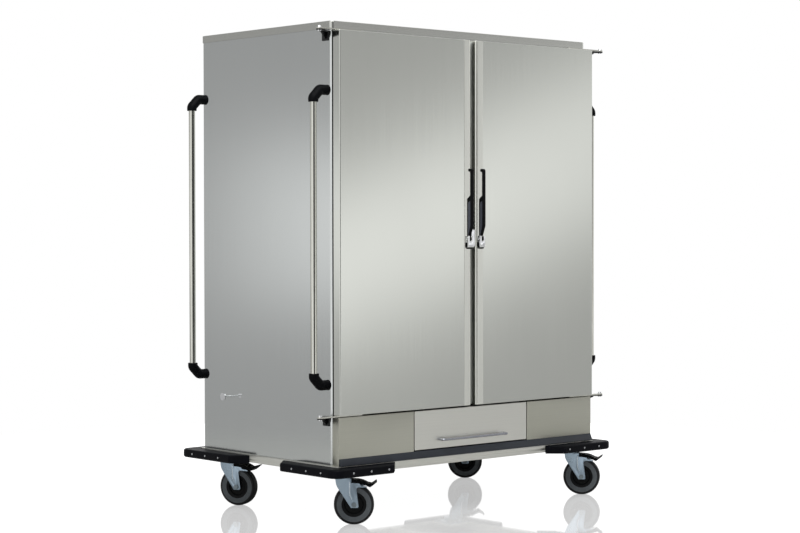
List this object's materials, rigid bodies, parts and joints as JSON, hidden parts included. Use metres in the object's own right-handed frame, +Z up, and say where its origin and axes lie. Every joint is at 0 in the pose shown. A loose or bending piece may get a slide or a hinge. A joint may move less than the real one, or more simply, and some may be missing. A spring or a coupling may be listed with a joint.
{
  "type": "banquet trolley",
  "caption": "Insulated stainless banquet trolley: a two-door cabinet with tray ledges and a drawer, on a bumpered frame with braked swivel casters.",
  "frame": {"origin": "on the floor under the middle of the wheeled frame", "axes": "+Z up, the doors face -Y, +X to the right of somebody who faces the doors"},
  "size_m": [1.5226, 0.981, 1.865],
  "materials": {
    "door_steel": "satin brushed stainless steel",
    "panel_steel": "satin brushed stainless steel",
    "fascia_steel": "satin brushed stainless steel",
    "liner_steel": "plain stainless sheet",
    "bright_steel": "polished stainless steel",
    "zinc_steel": "blue zinc plating",
    "chromed": "bright chrome",
    "dark_steel": "satin black",
    "black_moulding": "moulded, satin",
    "slate_edge": "extruded, satin",
    "bumper_moulding": "moulded, fine grained",
    "seal_rubber": "extruded, matt",
    "tyre_rubber": "grey rubber, matt"
  },
  "bodies": {
    "cabinet": {"chassis_frame": "fascia_steel", "edge_strip": "slate_edge", "side_panel_left": "panel_steel", "side_panel_right": "panel_steel", "back_panel": "panel_steel", "roof_panel": "liner_steel", "floor_panel": "liner_steel", "partition": "liner_steel", "top_cap": "panel_steel", "fascia_left": "fascia_steel", "fascia_right": "fascia_steel", "drawer_runners": "liner_steel", "rack_left": "bright_steel", "rack_right": "bright_steel", "mullion_strip": "slate_edge", "latch_keeper": "chromed", "bumper_front_left": "bumper_moulding", "bumper_front_right": "bumper_moulding", "bumper_back_left": "bumper_moulding", "bumper_back_right": "bumper_moulding", "frame_screws": "chromed", "push_tubes": "bright_steel", "push_elbows": "black_moulding", "stop_studs": "bright_steel", "hinge_brackets": "dark_steel", "hinge_pins": "chromed", "caster_plates": "zinc_steel"},
    "door_left": {"door_left": "door_steel", "gasket_left": "seal_rubber", "hinge_arms_left": "bright_steel", "latch_base_left": "chromed"},
    "door_right": {"door_right": "door_steel", "gasket_right": "seal_rubber", "hinge_arms_right": "bright_steel", "latch_base_right": "chromed"},
    "lever_left": {"lever_left": "black_moulding"},
    "lever_right": {"lever_right": "black_moulding"},
    "drawer": {"drawer_front": "fascia_steel", "drawer_tray": "liner_steel", "drawer_handle": "bright_steel"},
    "swivel_front_left": {"fork_front_left": "zinc_steel", "axle_front_left": "zinc_steel"},
    "wheel_front_left": {"hub_front_left": "black_moulding", "tyre_front_left": "tyre_rubber"},
    "pedal_front_left": {"pedal_front_left": "black_moulding"},
    "swivel_front_right": {"fork_front_right": "zinc_steel", "axle_front_right": "zinc_steel"},
    "wheel_front_right": {"hub_front_right": "black_moulding", "tyre_front_right": "tyre_rubber"},
    "pedal_front_right": {"pedal_front_right": "black_moulding"},
    "swivel_back_left": {"fork_back_left": "zinc_steel", "axle_back_left": "zinc_steel"},
    "wheel_back_left": {"hub_back_left": "black_moulding", "tyre_back_left": "tyre_rubber"},
    "pedal_back_left": {"pedal_back_left": "black_moulding"},
    "swivel_back_right": {"fork_back_right": "zinc_steel", "axle_back_right": "zinc_steel"},
    "wheel_back_right": {"hub_back_right": "black_moulding", "tyre_back_right": "tyre_rubber"},
    "pedal_back_right": {"pedal_back_right": "black_moulding"}
  },
  "joints": [
    {"name": "door_left_swing", "type": "hinge", "parent": "cabinet", "child": "door_left", "pos_m": [-0.749, -0.4085, 1.1205], "axis": [0, 0, -1], "range_deg": [0, 266]},
    {"name": "door_right_swing", "type": "hinge", "parent": "cabinet", "child": "door_right", "pos_m": [0.749, -0.4085, 1.1205], "axis": [0, 0, 1], "range_deg": [0, 266]},
    {"name": "lever_left_pull", "type": "hinge", "parent": "door_left", "child": "lever_left", "pos_m": [-0.032, -0.4465, 1.059], "axis": [1, 0, 0], "range_deg": [0, 13], "stiffness_Nm_per_rad": 0.03, "springref_deg": -17.19},
    {"name": "lever_right_pull", "type": "hinge", "parent": "door_right", "child": "lever_right", "pos_m": [0.032, -0.4465, 1.059], "axis": [1, 0, 0], "range_deg": [0, 13], "stiffness_Nm_per_rad": 0.03, "springref_deg": -17.19},
    {"name": "drawer_slide", "type": "slide", "parent": "cabinet", "child": "drawer", "axis": [0, -1, 0], "range_m": [0, 0.45]},
    {"name": "swivel_front_left_turn", "type": "hinge", "parent": "cabinet", "child": "swivel_front_left", "pos_m": [-0.616, -0.3515, 0.178], "axis": [0, 0, 1], "continuous": true},
    {"name": "wheel_front_left_spin", "type": "hinge", "parent": "swivel_front_left", "child": "wheel_front_left", "pos_m": [-0.57157, -0.38878, 0.075], "axis": [0.6428, 0.766, 0], "continuous": true},
    {"name": "pedal_front_left_press", "type": "hinge", "parent": "swivel_front_left", "child": "pedal_front_left", "pos_m": [-0.5731, -0.3875, 0.158], "axis": [0.6428, 0.766, 0], "range_deg": [0, 8]},
    {"name": "swivel_front_right_turn", "type": "hinge", "parent": "cabinet", "child": "swivel_front_right", "pos_m": [0.616, -0.3515, 0.178], "axis": [0, 0, 1], "continuous": true},
    {"name": "wheel_front_right_spin", "type": "hinge", "parent": "swivel_front_right", "child": "wheel_front_right", "pos_m": [0.65328, -0.39593, 0.075], "axis": [0.766, 0.6428, 0], "continuous": true},
    {"name": "pedal_front_right_press", "type": "hinge", "parent": "swivel_front_right", "child": "pedal_front_right", "pos_m": [0.652, -0.3944, 0.158], "axis": [0.766, 0.6428, 0], "range_deg": [0, 8]},
    {"name": "swivel_back_left_turn", "type": "hinge", "parent": "cabinet", "child": "swivel_back_left", "pos_m": [-0.616, 0.3515, 0.178], "axis": [0, 0, 1], "continuous": true},
    {"name": "wheel_back_left_spin", "type": "hinge", "parent": "swivel_back_left", "child": "wheel_back_left", "pos_m": [-0.58877, 0.30029, 0.075], "axis": [0.8829, 0.4695, 0], "continuous": true},
    {"name": "pedal_back_left_press", "type": "hinge", "parent": "swivel_back_left", "child": "pedal_back_left", "pos_m": [-0.58971, 0.30206, 0.158], "axis": [0.8829, 0.4695, 0], "range_deg": [0, 8]},
    {"name": "swivel_back_right_turn", "type": "hinge", "parent": "cabinet", "child": "swivel_back_right", "pos_m": [0.616, 0.3515, 0.178], "axis": [0, 0, 1], "continuous": true},
    {"name": "wheel_back_right_spin", "type": "hinge", "parent": "swivel_back_right", "child": "wheel_back_right", "pos_m": [0.65842, 0.31194, 0.075], "axis": [0.682, 0.7314, 0], "continuous": true},
    {"name": "pedal_back_right_press", "type": "hinge", "parent": "swivel_back_right", "child": "pedal_back_right", "pos_m": [0.65696, 0.31331, 0.158], "axis": [0.682, 0.7314, 0], "range_deg": [0, 8]}
  ]
}
